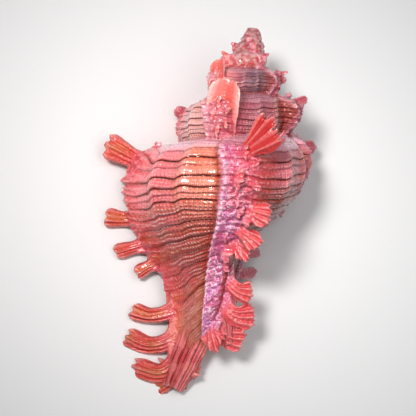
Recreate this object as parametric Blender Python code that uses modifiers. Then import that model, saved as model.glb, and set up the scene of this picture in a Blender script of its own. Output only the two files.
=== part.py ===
"""A branched murex shell, about 100 mm from the tip of its spire to the end of its canal.

The shell grew as one piece, so it is one object. It is modelled the way it grew: one outline of the
whorl is turned round the shell's axis while it swells by the same factor each turn, and a thick ridge,
a varix, with a row of fronds is laid down every 111 degrees. Older parts are the same shapes, smaller.

Lengths are millimetres at the finished lip unless a name says otherwise, and angles are degrees.
A growth angle is 0 at the lip and negative towards the apex.
"""

import math

import bmesh
import bpy
import numpy as np
from mathutils import Euler, Matrix, Vector

MM = 0.001

# Growth
TURN_GROWTH = 1.62
WIDTH_POWER = 0.96
TURNS = 7.6
APEX_RADIUS, APEX_DEPTH = 1.6, 1.1
LIP_AZIMUTH = -102.0
VARIX_STEP = 111.0
VARIX_COUNT = 18
BODY_VARICES = 3

# Outline of the whorl at the lip: distance from the axis, depth below the apex
WHORL_OUTLINE = (
    (0.3, 27.0),
    (8.0, 30.0),
    (13.6, 33.6),
    (17.2, 35.2),
    (20.4, 37.8),
    (22.4, 41.6),
    (23.3, 45.8),
    (23.2, 50.0),
    (22.0, 54.4),
    (19.3, 58.8),
    (15.8, 62.8),
    (12.2, 66.6),
    (9.4, 70.4),
    (7.6, 74.8),
    (6.4, 80.4),
    (5.6, 86.4),
    (3.6, 92.0),
    (0.3, 95.0),
)
OUTLINE_STEPS = 54
ANGLE_STEP = 4.0

# Sculpture of the whorl
VARIX_HEIGHT = 2.9
BODY_SHOULDER, SPIRE_SHOULDER = (1.3, 7.0), (5.2, 10.0)  # more height there, over this much depth
VARIX_BACK, VARIX_FRONT = 0.15, 0.06
LIP_FLARE, CANAL_FLARE, FLARE_REACH = 0.6, 1.0, 17.0
RIB_PLACES = (0.36, 0.62)
RIB_HEIGHT, RIB_WIDTH, RIB_DEPTH, RIB_REACH = 1.3, 0.055, 44.0, 9.0
CORD_PITCH, CORD_HEIGHT = 3.35, 0.3

# Fronds of a varix, by where they leave it. A spine's points are (out, down, back) from the root, and
# its half widths run along it. The fingers part from the stem at SPLIT and end where the spine ends.
FRONDS = {
    "shoulder": {
        "depth": 42.0, "radius": 20.4,
        "spine": ((0, 0, 0), (6.6, -2.9, 1.6), (14.4, -5.7, 5.4)),
        "half_widths": (4.8, 2.6, 3.4), "half_depth": 1.6, "fingers": 5,
    },
    "edge": {
        "depth": 46.4, "radius": 22.6,
        "spine": ((0, 0, 0), (2.5, -0.4, 0.5), (5.4, -0.8, 1.2)),
        "half_widths": (2.2, 1.5, 1.4), "half_depth": 1.1, "fingers": 2,
    },
    "upper": {
        "depth": 53.8, "radius": 21.0,
        "spine": ((0, 0, 0), (5.6, 1.7, 1.5), (11.2, 2.0, 4.6)),
        "half_widths": (3.2, 2.0, 2.6), "half_depth": 1.3, "fingers": 4,
    },
    "middle": {
        "depth": 60.2, "radius": 17.6,
        "spine": ((0, 0, 0), (5.2, 2.4, 1.4), (10.2, 4.8, 4.0)),
        "half_widths": (2.8, 1.8, 2.1), "half_depth": 1.2, "fingers": 3,
    },
    "lower": {
        "depth": 64.4, "radius": 14.4,
        "spine": ((0, 0, 0), (3.6, 2.6, 1.2), (6.8, 5.4, 3.0)),
        "half_widths": (2.6, 1.7, 2.0), "half_depth": 1.1, "fingers": 3,
    },
    "neck": {
        "depth": 74.2, "radius": 5.6,
        "spine": ((0, 0, 0), (5.2, 3.8, 1.0), (10.2, 5.6, 2.2), (15.8, 4.8, 4.0)),
        "half_widths": (3.6, 2.2, 2.0, 2.4), "half_depth": 1.3, "fingers": 4,
    },
    "canal": {
        "depth": 80.8, "radius": 4.8,
        "spine": ((0, 0, 0), (4.8, 4.8, 1.2), (10.0, 6.8, 2.6), (17.0, 5.0, 5.0)),
        "half_widths": (3.6, 2.4, 2.3, 2.7), "half_depth": 1.3, "fingers": 4,
    },
    "end": {
        "depth": 88.0, "radius": 4.6,
        "spine": ((0, 0, 0), (2.8, 4.0, 1.0), (6.6, 6.6, 2.4), (14.0, 5.4, 4.4)),
        "half_widths": (3.4, 2.8, 2.5, 2.6), "half_depth": 1.3, "fingers": 4,
    },
    "fork": {
        "depth": 91.0, "radius": 5.0,
        "spine": ((0, 0, 0), (2.0, 4.0, 0.2), (6.6, 9.2, 0.6)),
        "half_widths": (2.6, 2.2, 2.2), "half_depth": 1.3, "fingers": 3,
    },
}
SPLIT, FINGER_FLARE = 0.78, 0.35
FINGER_ROOT, FINGER_TIP, THINNEST_FINGER = 1.0, 0.8, 0.62
LEAST_FINGERED = 0.33

# How the fronds of each varix stand, from the lip back: reach and backward bend of the shoulder frond,
# how much it rises, and the same for the others. The last one holds for the rest of the spire.
STANCES = (
    {"out": 1.0, "back": 0.7, "rise": 0.0, "others_out": 1.0, "others_back": 0.7, "others_rise": 0.0},
    {"out": 0.85, "back": 2.2, "rise": 7.0, "others_out": 0.62, "others_back": 2.2, "others_rise": -1.6},
    {"out": 1.08, "back": 0.6, "rise": -2.0, "others_out": 0.9, "others_back": 1.2, "others_rise": 0.0},
    {"out": 0.85, "back": 0.8, "rise": -2.0, "others_out": 0.8, "others_back": 0.8, "others_rise": 0.0},
    {"out": 1.1, "back": 0.8, "rise": 2.5, "others_out": 0.8, "others_back": 0.8, "others_rise": 0.0},
)
SPIRE_FRONDS = ("shoulder", "edge", "upper")

# Canals: the finished one at the lip, and the stubs of the two before it
CANAL_SPINE = ((2.4, 62.0), (1.6, 72.0), (2.4, 80.0), (4.0, 87.0), (5.6, 92.5), (6.8, 96.5), (7.7, 100.4))
CANAL_RADII = (5.2, 5.2, 4.6, 4.0, 3.4, 2.8, 1.7)
CANAL_FLATNESS = 0.72
CANAL_TURNS = (0.0, 65.0, 45.0)

# The hollow: an oval tube that runs back from the mouth
MOUTH_RADIUS, MOUTH_DEPTH = 13.4, 50.0
MOUTH_HALF_WIDTH, MOUTH_HALF_HEIGHT = 6.2, 9.8
HOLLOW_TURN, HOLLOW_LEAD, HOLLOW_TAPER = 230.0, 24.0, 0.75
RIM_RADIUS, RIM_OUTSIDE = 1.1, 0.5

# The slit in the mouth side of the canal, from the mouth to the end
SLIT_SPINE = (
    (12.6, 55.0), (9.4, 61.0), (5.0, 66.6), (2.4, 72.0), (2.4, 80.0), (4.0, 87.0), (5.6, 92.5), (7.9, 101.4),
)
SLIT_LIFT = (0.0, 0.6, 2.6, 3.7, 3.3, 2.9, 2.4, 1.4)
SLIT_HALF_WIDTH, SLIT_HALF_DEPTH = 0.7, 2.0

# How the shell lies on its mouth side, and what makes one closed skin of it
LIE_PITCH, LIE_ROLL = 10.9, -11.5
SEAT_CUT_MM = 0.6
SKIN_MM = 0.6
KEEP_SHARE = 0.1


def smooth_path(points, steps):
    """Evenly numbered points on a Catmull-Rom curve through the given ones."""
    known = np.array(points, float)
    known = np.vstack([2 * known[0] - known[1], known, 2 * known[-1] - known[-2]])
    spans = len(known) - 3
    place = np.linspace(0, spans, steps)
    span = np.minimum(place.astype(int), spans - 1)
    t = (place - span)[:, None]
    before, start, end, after = (known[span + k] for k in range(4))
    return 0.5 * (
        2 * start
        + (end - before) * t
        + (2 * before - 5 * start + 4 * end - after) * t**2
        + (3 * start - before - 3 * end + after) * t**3
    )


def growth(angle):
    return TURN_GROWTH ** (angle / 360)


def on_shell(angle, radius, depth, turned=0.0):
    """The point of the growing shell at that growth angle, in metres, apex at the origin, spire along +Y."""
    size = growth(angle)
    across = size**WIDTH_POWER * radius * MM
    azimuth = math.radians(LIP_AZIMUTH - angle + turned)
    return Vector((across * math.sin(azimuth), -size * depth * MM, across * math.cos(azimuth)))


def bump(value, middle, width):
    return math.exp(-(((value - middle) / width) ** 2))


def relief(angle, radius, depth):
    """Height of the varices, the ribs between them and the spiral cords above the plain whorl."""
    share = (-angle / VARIX_STEP) % 1.0
    varix = bump(share, 0, VARIX_BACK) + bump(share, 1, VARIX_FRONT)
    ribs = sum(bump(share, place, RIB_WIDTH) for place in RIB_PLACES)
    below_suture = min(1.0, max(0.0, (depth - 31.0) / 6.0))
    cord = 0.5 - 0.5 * math.cos(2 * math.pi * depth / CORD_PITCH)
    slimming = min(1.0, 0.35 + radius / 20.0)
    flare = LIP_FLARE + (CANAL_FLARE - LIP_FLARE) * min(1.0, max(0.0, (depth - 56) / 14))
    shoulder = SPIRE_SHOULDER if angle < -2.5 * VARIX_STEP else BODY_SHOULDER
    height = (VARIX_HEIGHT + shoulder[0] * bump(depth, 42.0, shoulder[1])) * varix * slimming
    height += flare * bump(angle, 0, FLARE_REACH)
    height += RIB_HEIGHT * ribs * bump(depth, RIB_DEPTH, RIB_REACH)
    height += CORD_HEIGHT * cord * (1 + varix) * slimming
    return height * below_suture


def bend_grid(bm, columns, rows, place):
    """A flat grid, sent to where place puts each point of the unit square."""
    made = bmesh.ops.create_grid(bm, x_segments=columns, y_segments=rows, size=0.5)
    for vert in made["verts"]:
        vert.co = place(vert.co.x + 0.5, vert.co.y + 0.5)
    return made["verts"]


def add_whorls(bm):
    """The coiled body, from the apex to the flat wall at the lip."""
    outline = smooth_path(WHORL_OUTLINE, OUTLINE_STEPS)
    first_angle = -360.0 * TURNS
    rows = round(-first_angle / ANGLE_STEP)

    def place(along, across):
        angle = first_angle * (1 - across)
        radius, depth = outline[round(along * (OUTLINE_STEPS - 1))]
        return on_shell(angle, radius + relief(angle, radius, depth), depth)

    bend_grid(bm, OUTLINE_STEPS - 1, rows, place)
    bmesh.ops.holes_fill(bm, edges=[edge for edge in bm.edges if edge.is_boundary], sides=0)


def add_tube(bm, spine, half_widths, half_depths, side, sides=8):
    """A closed flattened tube along a spine, its width along side, its ends drawn to points."""
    steps = len(spine)
    along = np.linspace(0, 1, steps)
    widths = np.interp(along, np.linspace(0, 1, len(half_widths)), half_widths)
    depths = np.interp(along, np.linspace(0, 1, len(half_depths)), half_depths)
    rounding = np.sqrt(np.clip(1 - np.abs(2 * along - 1) ** 8, 0, 1))

    def place(round_share, length_share):
        step = round(length_share * (steps - 1))
        before, after = spine[max(step - 1, 0)], spine[min(step + 1, steps - 1)]
        forward = (after - before).normalized()
        across = (side - side.dot(forward) * forward).normalized()
        up = forward.cross(across)
        turn = 2 * math.pi * round_share
        out = across * widths[step] * math.cos(turn) + up * depths[step] * math.sin(turn)
        return spine[step] + out * rounding[step] * MM

    verts = bend_grid(bm, sides, steps - 1, place)
    bmesh.ops.remove_doubles(bm, verts=verts, dist=1e-6)


def add_frond(bm, angle, name, out_scale, back_scale, rise):
    """One frond: a flattened stem that leaves the varix, bends back and opens into fingers."""
    frond = FRONDS[name]
    size = growth(angle)
    azimuth = math.radians(LIP_AZIMUTH - angle)
    outward = Vector((math.sin(azimuth), 0, math.cos(azimuth)))
    backward = Vector((math.cos(azimuth), 0, -math.sin(azimuth)))
    down = Vector((0, -1, 0))
    root = on_shell(angle, frond["radius"], frond["depth"])
    whole = frond["spine"][-1][0]

    def reach(point):
        out, fall, back = point
        fall -= rise * (out / whole) ** 2
        return root + (outward * out * out_scale + down * fall + backward * back * back_scale) * size * MM

    spine = [reach(point) for point in smooth_path(frond["spine"], 21)]
    half_widths = frond["half_widths"]
    widths = np.interp(np.linspace(0, 1, 21), np.linspace(0, 1, len(half_widths)), half_widths)
    widths = np.maximum(widths * size, 1.0)
    thick = max(frond["half_depth"] * size, 0.8)
    fingers = frond["fingers"] if size > LEAST_FINGERED else 0
    stem_end = round(20 * SPLIT) if fingers else 20
    add_tube(bm, spine[: stem_end + 1 : 2], widths[: stem_end + 1 : 2], [thick, thick * 0.7], down)

    for finger in range(fingers):
        lean = 2 * finger / (fingers - 1) - 1
        last = 20 - round(2 * lean * lean + 2 * (finger % 2))
        path = []
        for step in np.linspace(8, last, 6).round().astype(int):
            forward = (spine[step] - spine[step - 2]).normalized()
            side = (down - down.dot(forward) * forward).normalized()
            opened = 1 + FINGER_FLARE * max(0.0, (step - stem_end + 3) / 10)
            apart = max(0.2, widths[step] - FINGER_ROOT * size * 0.8) * opened
            path.append(spine[step] + side * lean * apart * MM)
        radii = [max(radius * size, THINNEST_FINGER) for radius in (FINGER_ROOT, FINGER_ROOT, FINGER_TIP)]
        add_tube(bm, path, radii, radii, down, 8)


def add_canal(bm, angle, turned):
    """The tube that a growth stage ends in. The old ones stay as stubs beside the new one."""
    size = growth(angle)
    spine = []
    for radius, depth in smooth_path(CANAL_SPINE, 12):
        turned_here = turned * min(1.0, max(0.0, (depth - 70) / 20))
        spine.append(on_shell(angle, radius, depth, turned_here))
    azimuth = math.radians(LIP_AZIMUTH - angle + turned)
    outward = Vector((math.sin(azimuth), 0, math.cos(azimuth)))
    radii = [radius * size for radius in CANAL_RADII]
    add_tube(bm, spine, radii, [radius * CANAL_FLATNESS for radius in radii], outward, 12)


def add_rim(bm):
    """The raised edge of the mouth, a ring on the flat wall at the lip."""

    def place(round_share, ring_share):
        turn, ring = 2 * math.pi * round_share, 2 * math.pi * ring_share
        out = RIM_OUTSIDE + RIM_RADIUS * math.cos(turn)
        radius = MOUTH_RADIUS + (MOUTH_HALF_WIDTH + out) * math.cos(ring)
        depth = MOUTH_DEPTH + (MOUTH_HALF_HEIGHT + out) * math.sin(ring)
        return on_shell(math.degrees(RIM_RADIUS * math.sin(turn) / radius), radius, depth)

    verts = bend_grid(bm, 8, 40, place)
    bmesh.ops.remove_doubles(bm, verts=verts, dist=1e-6)


def add_slit(bm):
    """What leaves the canal open along its mouth side."""
    azimuth = math.radians(LIP_AZIMUTH)
    outward = Vector((math.sin(azimuth), 0, math.cos(azimuth)))
    forward = Vector((-math.cos(azimuth), 0, math.sin(azimuth)))
    points = smooth_path(SLIT_SPINE, 16)
    lifts = np.interp(np.linspace(0, 1, 16), np.linspace(0, 1, len(SLIT_LIFT)), SLIT_LIFT)
    path = [on_shell(0, radius, depth) + forward * lift * MM for (radius, depth), lift in zip(points, lifts)]
    add_tube(bm, path, [SLIT_HALF_WIDTH], [SLIT_HALF_DEPTH], outward, 8)


def add_hollow(bm):
    """The room of the animal, an oval tube that follows the whorl back from the mouth and narrows."""
    steps = 30
    angles = np.linspace(HOLLOW_LEAD, -HOLLOW_TURN, steps)

    def place(round_share, length_share):
        step = round(length_share * (steps - 1))
        angle = angles[step]
        inside = max(0.0, -angle / HOLLOW_TURN)
        width = 1 - HOLLOW_TAPER * inside
        closing = math.sqrt(max(0.0, 1 - max(inside, step == 0) ** 8))
        turn = 2 * math.pi * round_share
        radius = MOUTH_RADIUS + MOUTH_HALF_WIDTH * width * closing * math.cos(turn)
        depth = MOUTH_DEPTH + MOUTH_HALF_HEIGHT * width * closing * math.sin(turn)
        return on_shell(angle, radius, depth)

    bend_grid(bm, 20, steps - 1, place)
    bmesh.ops.remove_doubles(bm, verts=bm.verts, dist=1e-6)


def object_from(bm, name, collection):
    bmesh.ops.recalc_face_normals(bm, faces=bm.faces)
    mesh = bpy.data.meshes.new(name)
    bm.to_mesh(mesh)
    bm.free()
    made = bpy.data.objects.new(name, mesh)
    collection.objects.link(made)
    return made


def evaluated_mesh(source):
    graph = bpy.context.evaluated_depsgraph_get()
    return bpy.data.meshes.new_from_object(source.evaluated_get(graph))


def cut_away(target, cutter):
    cutter.hide_render = True
    cutter.display_type = "WIRE"
    cut = target.modifiers.new(cutter.name, "BOOLEAN")
    cut.operation = "DIFFERENCE"
    cut.object = cutter


def shell_material():
    material = bpy.data.materials.new("coral_pink_shell")
    material.use_nodes = True
    surface = material.node_tree.nodes["Principled BSDF"]
    surface.inputs["Base Color"].default_value = (0.72, 0.24, 0.2, 1)
    surface.inputs["Roughness"].default_value = 0.38
    surface.inputs["Metallic"].default_value = 0.0
    return material


def build_skin():
    """Whorls, canals and fronds as one bmesh of closed shapes that run into each other."""
    bm = bmesh.new()
    add_whorls(bm)
    bmesh.ops.create_icosphere(
        bm, subdivisions=2, radius=APEX_RADIUS * MM, matrix=Matrix.Translation((0, -APEX_DEPTH * MM, 0))
    )
    add_rim(bm)
    for number, turned in enumerate(CANAL_TURNS):
        add_canal(bm, -VARIX_STEP * number, turned)
    for number in range(VARIX_COUNT):
        stance = STANCES[min(number, len(STANCES) - 1)]
        for name in FRONDS if number < BODY_VARICES else SPIRE_FRONDS:
            which = "" if name == "shoulder" else "others_"
            out, back, rise = (stance[which + key] for key in ("out", "back", "rise"))
            add_frond(bm, -VARIX_STEP * number, name, out, back, rise)
    return bm


def main():
    for old in list(bpy.data.objects):
        bpy.data.objects.remove(old)
    parts = bpy.data.collections.new("murex_shell")
    cutters = bpy.data.collections.new("cutters")
    for collection in (parts, cutters):
        bpy.context.scene.collection.children.link(collection)

    shell = object_from(build_skin(), "shell", parts)
    skin = shell.modifiers.new("one_skin", "REMESH")
    skin.mode = "VOXEL"
    skin.voxel_size = SKIN_MM * MM
    thin = shell.modifiers.new("fewer_faces", "DECIMATE")
    thin.ratio = KEEP_SHARE
    shell.data = evaluated_mesh(shell)
    shell.modifiers.clear()

    lie = Euler((math.radians(LIE_PITCH), math.radians(LIE_ROLL), 0)).to_matrix().to_4x4()
    corners = np.array([lie @ vert.co for vert in shell.data.vertices])
    low, high = corners.min(axis=0), corners.max(axis=0)
    seat = Vector((-(low[0] + high[0]) / 2, -(low[1] + high[1]) / 2, -low[2] - SEAT_CUT_MM * MM))
    shell.matrix_world = Matrix.Translation(seat) @ lie

    bm = bmesh.new()
    add_hollow(bm)
    hollow = object_from(bm, "hollow", cutters)
    hollow.matrix_world = shell.matrix_world
    cut_away(shell, hollow)

    bm = bmesh.new()
    add_slit(bm)
    slit = object_from(bm, "canal_slit", cutters)
    slit.matrix_world = shell.matrix_world
    cut_away(shell, slit)

    bm = bmesh.new()
    below = Matrix.Translation((0, 0, -0.05)) @ Matrix.Diagonal((0.3, 0.3, 0.1, 1))
    bmesh.ops.create_cube(bm, size=1.0, matrix=below)
    cut_away(shell, object_from(bm, "table", cutters))
    shell.data.materials.append(shell_material())


main()
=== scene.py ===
# Branched murex shell, lying mouth down on a pale table and seen from above.
import math

import bmesh
import bpy
import numpy as np
from mathutils import Euler, Matrix, Vector
from mathutils.bvhtree import BVHTree


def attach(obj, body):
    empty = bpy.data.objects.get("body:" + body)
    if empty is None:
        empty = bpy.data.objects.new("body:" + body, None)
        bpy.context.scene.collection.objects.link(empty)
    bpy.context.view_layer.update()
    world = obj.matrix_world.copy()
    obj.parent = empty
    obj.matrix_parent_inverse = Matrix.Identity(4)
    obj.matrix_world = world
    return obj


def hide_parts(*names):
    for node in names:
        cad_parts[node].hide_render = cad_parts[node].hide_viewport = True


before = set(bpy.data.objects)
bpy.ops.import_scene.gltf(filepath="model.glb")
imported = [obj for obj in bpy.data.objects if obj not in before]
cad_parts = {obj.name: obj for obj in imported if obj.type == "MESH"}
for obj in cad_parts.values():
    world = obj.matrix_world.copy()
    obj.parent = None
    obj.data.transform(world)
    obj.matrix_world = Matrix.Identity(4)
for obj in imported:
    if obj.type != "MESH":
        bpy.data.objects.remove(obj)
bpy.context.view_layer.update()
mm = 0.001
print("frame loaded")

# The way the shell grows, the same as in the solid. Lengths are mm at the lip, angles are degrees,
# and a growth angle is 0 at the lip and negative towards the apex.
shellGrowth = {
    "turnGrowth": 1.62,
    "widthPower": 0.96,
    "turns": 7.6,
    "lipAzimuth": -102.0,
    "varixStep": 111.0,
    "pitch": 10.9,
    "roll": -11.5,
    "seat": (0.003175, 0.048727, 0.021984),  # metres, from the apex to the middle of the box
    "outline": [  # distance from the axis, depth below the apex
        (0.3, 27.0), (8.0, 30.0), (13.6, 33.6), (17.2, 35.2), (20.4, 37.8), (22.4, 41.6),
        (23.3, 45.8), (23.2, 50.0), (22.0, 54.4), (19.3, 58.8), (15.8, 62.8), (12.2, 66.6),
        (9.4, 70.4), (7.6, 74.8), (6.4, 80.4), (5.6, 86.4), (3.6, 92.0), (0.3, 95.0),
    ],
}
lie = Euler((math.radians(shellGrowth["pitch"]), math.radians(shellGrowth["roll"]), 0)).to_matrix().to_4x4()
shellPlace = Matrix.Translation(shellGrowth["seat"]) @ lie


def smoothPath(points, steps):
    known = np.array(points, float)
    known = np.vstack([2 * known[0] - known[1], known, 2 * known[-1] - known[-2]])
    place = np.linspace(0, len(known) - 3, steps)
    span = np.minimum(place.astype(int), len(known) - 4)
    t = (place - span)[:, None]
    a, b, c, d = (known[span + k] for k in range(4))
    return 0.5 * (2 * b + (c - a) * t + (2 * a - 5 * b + 4 * c - d) * t**2 + (3 * b - a - 3 * c + d) * t**3)


def easeBetween(low, high, value):
    t = np.clip((value - low) / (high - low), 0, 1)
    return t * t * (3 - 2 * t)


def bump(value, middle, width):
    return np.exp(-(((value - middle) / width) ** 2))


def sizeAt(angle):
    return shellGrowth["turnGrowth"] ** (np.asarray(angle, float) / 360)


def onShell(angle, radius, depth, turned=0.0):
    size = sizeAt(angle)
    across = size ** shellGrowth["widthPower"] * radius * mm
    azimuth = np.radians(shellGrowth["lipAzimuth"] - angle + turned)
    return np.stack([across * np.sin(azimuth), -size * depth * mm, across * np.cos(azimuth)], axis=-1)


# Relief of the whorls: strips between dark grooves, two ribs and one varix in each 111 degrees
whorlRelief = {
    "grooves": [  # depth below the apex, strength
        (35.6, 0.3), (38.1, 0.5), (41.0, 1.0), (43.1, 0.5), (46.2, 1.0), (49.3, 1.0), (51.2, 0.45),
        (53.0, 1.0), (56.2, 0.8), (59.0, 1.0), (60.8, 0.45), (63.0, 1.0), (66.4, 0.8), (69.6, 0.9),
        (73.0, 0.45), (76.7, 0.9), (80.0, 0.4), (84.0, 0.35), (88.0, 0.3),
    ],
    "grooveDepth": 0.42,
    "grooveWidth": 0.24,
    "stripHeight": 0.42,
    "stripLean": 0.34,
    "stepPlaces": [0.0, 0.12, 0.33, 0.385, 0.55, 0.615, 1.0],
    "stepDrops": [-0.1, 0.7, 1.0, 0.0, 0.5, -0.5, 0.1],
    "varixHeight": 2.9,
    "bodyShoulder": (1.3, 7.0),
    "spireShoulder": (5.2, 10.0),
    "ribHeight": 1.3,
    "ribs": (0.36, 0.6),
    "fringeHeight": 1.0,
    "foldHeight": 0.5,
    "threadHeight": 0.12,
    "lipTeeth": 1.1,
}


def varixShare(angle):
    share = np.mod(-np.asarray(angle, float) / shellGrowth["varixStep"], 1.0)
    return share, np.where(share > 0.5, share - 1, share)


def fringePlace(depth):
    # the old lip edge leans forward at the shoulder and along the canal
    return -0.145 - 0.055 * bump(depth, 37, 6) - 0.1 * easeBetween(58, 76, depth)


def varixRise(angle, depth):
    near, edge = varixShare(angle)[1], fringePlace(depth)
    return easeBetween(edge - 0.022, edge + 0.02, near) * np.exp(-((np.maximum(near, 0) / 0.15) ** 2))


def strippedDepth(angle, depth):
    # the depth that the grooves count from: they step down at each rib and waver a little
    r = whorlRelief
    share = varixShare(angle)[0]
    drop = np.interp(share, r["stepPlaces"], r["stepDrops"]) * np.exp(-(((depth - 45) / 15) ** 4))
    waver = 0.2 * np.sin(0.093 * angle + 0.31 * depth) + 0.12 * np.sin(0.21 * angle - 0.9 * depth)
    drawnUp = 3.5 * easeBetween(-38, -3, angle) * bump(depth, 38, 5)  # towards the frond on the lip's shoulder
    return depth - drop + drawnUp - waver * easeBetween(33, 36, depth)


def whorlHeight(angle, radius, depth):
    r = whorlRelief
    share, near = varixShare(angle)
    rise = varixRise(angle, depth)
    counted = strippedDepth(angle, depth)
    slim = np.minimum(1.0, 0.35 + radius / 20.0)
    extra, reach = (np.where(angle < -277, b, a) for a, b in zip(r["bodyShoulder"], r["spireShoulder"]))
    height = (r["varixHeight"] + extra * bump(depth, 42, reach)) * rise * slim
    flare = 0.6 + 0.4 * np.clip((depth - 56) / 14, 0, 1)
    height = height + flare * bump(angle, 0, 17.0)
    height = height + r["ribHeight"] * sum(bump(share, p, 0.045) for p in r["ribs"]) * bump(depth, 44, 9)
    edges = np.array([g[0] for g in r["grooves"]])
    order = np.clip(np.searchsorted(edges, counted) - 1, 0, len(edges) - 2)
    inStrip = np.clip((counted - edges[order]) / (edges[order + 1] - edges[order]), 0, 1)
    wide = np.clip((edges[order + 1] - edges[order]) / 3.2, 0.3, 1.1)
    height = height + r["stripHeight"] * wide * (4 * inStrip * (1 - inStrip)) ** 0.7 * slim * (1 + 0.5 * rise)
    height = height + r["stripLean"] * wide * (inStrip - 0.5) * slim
    for place, strength in r["grooves"]:
        height = height - r["grooveDepth"] * strength * bump(counted, place, r["grooveWidth"]) * slim
    frill = 0.6 + 0.4 * np.sin(4.3 * counted + 0.8 * np.sin(1.3 * depth))
    height = height + r["fringeHeight"] * bump(near, fringePlace(depth) + 0.03, 0.017) * frill * slim
    folds = np.sin(3.1 * counted + 1.9 * np.sin(0.11 * angle + 0.8 * depth)) + 0.5 * np.sin(6.3 * counted + 0.33 * angle)
    height = height + r["foldHeight"] * folds * rise * easeBetween(-0.12, 0.0, near) * slim
    round_ = np.radians(angle) * radius  # mm round the whorl
    pebbles = (np.sin(3.3 * round_ + 2.1 * counted) + np.sin(3.7 * counted - 1.9 * round_ + 1.1)
               + np.sin(2.9 * round_ - 3.1 * counted + 2 * np.sin(0.9 * counted)))
    height = height + np.where(angle < -277, 0.42, 0.17) * pebbles * rise * slim
    height = height + r["lipTeeth"] * bump(angle, 0, 5) * inStrip**2 * wide * easeBetween(34, 38, depth)
    threads = np.sin(7.2 * counted) * (0.6 + 0.4 * np.sin(2.9 * angle + 2.0 * np.sin(counted)))
    height = height + r["threadHeight"] * threads * slim * (0.6 + 0.8 * easeBetween(54, 60, depth))
    return height * np.clip((depth - 31.0) / 6.0, 0, 1)


# One raw bmesh gathers every closed shape. A vertex keeps its growth angle and whether it is porcelain,
# and a face keeps the number of the shape that it came from.
raw = bmesh.new()
raw.faces.layers.int.new("shape")
raw.verts.layers.float.new("angle")
raw.verts.layers.float.new("mouth")
shapeLayer, angleLayer = raw.faces.layers.int["shape"], raw.verts.layers.float["angle"]
mouthLayer = raw.verts.layers.float["mouth"]
bodyShape, canalShape, firstFrond = 0, 1, 10


def bendGrid(columns, rows, place, shape, where=raw):
    firstFace = len(where.faces)
    made = bmesh.ops.create_grid(where, x_segments=columns, y_segments=rows, size=0.5)["verts"]
    spot = np.array([vert.co for vert in made])
    points, angles, mouths = place(spot[:, 0] + 0.5, spot[:, 1] + 0.5)
    angles = np.broadcast_to(angles, len(made)).tolist()
    mouths = np.broadcast_to(mouths, len(made)).tolist()
    for vert, point, angle, mouth in zip(made, points.tolist(), angles, mouths):
        vert.co = point
        if where is raw:
            vert[angleLayer] = angle
            vert[mouthLayer] = mouth
    where.faces.ensure_lookup_table()
    if where is raw:
        for face in where.faces[firstFace:]:
            face[shapeLayer] = shape
    bmesh.ops.remove_doubles(where, verts=made, dist=2e-7)


def ringIndex(share, count):
    return np.rint(share * count).astype(int)


mouthShape = {
    "radius": 13.4, "depth": 50.0, "halfWidth": 6.2, "halfHeight": 9.8,
    "turn": 230.0, "taper": 0.75,
    "rimRise": 0.95, "rimStart": 0.72, "dish": 1.5, "toothHeight": 0.42, "teeth": 2.1,
}


def addBodyWhorl():
    # the last turn, its wall at the lip with the raised rim, and the hollow that runs back inside
    m = mouthShape
    columns, outside = 300, 246
    outline = smoothPath(shellGrowth["outline"], outside + 1)
    back = np.column_stack([np.full(columns - outside, 0.3), np.linspace(95, 27, columns - outside)])
    outline = np.vstack([outline, back[: columns - outside - 1], outline[:1]])
    first, outerRows, faceRows, innerRows = -430.0, 430, 26, 76
    rows = 3 + outerRows + faceRows + innerRows
    onRing = np.radians(np.interp(np.arange(columns + 1), [0, outside * 0.5, outside, columns], [-128, 0, 128, 232]))

    def place(u, v):
        column, row = ringIndex(u, columns), ringIndex(v, rows)
        radius, depth = outline[column, 0], outline[column, 1]
        ring = onRing[column]
        angle = np.clip(first + (row - 3) * -first / outerRows, first, 0)
        height = np.where(column <= outside, whorlHeight(angle, radius, depth), 0)
        size = np.clip(row / 3, 0, 1)  # closes the old end
        faceShare = np.clip((row - 3 - outerRows) / faceRows, 0, 1)
        inside = np.clip((row - 3 - outerRows - faceRows) / innerRows, 0, 1)
        taper = (1 - m["taper"] * inside) * np.sqrt(np.clip(1 - inside**10, 0, 1))
        outerSide = easeBetween(-0.2, 0.5, np.cos(ring))
        teeth = m["toothHeight"] * outerSide * (0.5 + 0.5 * np.cos(m["teeth"] * 2 * np.pi * ring * 1.4))
        teeth = teeth * np.exp(-(((inside - 0.03) / 0.04) ** 2)) * (faceShare >= 1)
        wide = (m["halfWidth"] - teeth) * taper
        high = (m["halfHeight"] - teeth) * taper
        ovalRadius = m["radius"] + wide * np.cos(ring)
        ovalDepth = m["depth"] + high * np.sin(ring)
        outRadius, outDepth = (radius + height) * size + 2 * (1 - size), depth * size + 60 * (1 - size)
        mixed = faceShare
        bothRadius = outRadius * (1 - mixed) + ovalRadius * mixed
        bothDepth = outDepth * (1 - mixed) + ovalDepth * mixed
        rim = m["rimRise"] * easeBetween(m["rimStart"], 0.86, faceShare)
        rim = rim * (1 - easeBetween(0.0, 0.035, inside)) * (0.75 + 0.25 * np.cos(ring))
        dish = -m["dish"] * np.sin(np.pi * np.clip(faceShare / m["rimStart"], 0, 1)) ** 2 * easeBetween(0.0, 0.6, np.cos(ring))
        crimp = 0.35 * np.sin(3.1 * outDepth) * bump(faceShare, 0.1, 0.12) * easeBetween(0.0, 0.4, np.cos(ring))
        forward = np.degrees((rim + dish + crimp) / np.maximum(bothRadius, 4))
        angles = angle + forward - m["turn"] * inside
        mouth = easeBetween(0.1, 0.4, faceShare)
        return onShell(angles, bothRadius, bothDepth), angles, mouth

    bendGrid(columns, rows, place, bodyShape)


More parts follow.
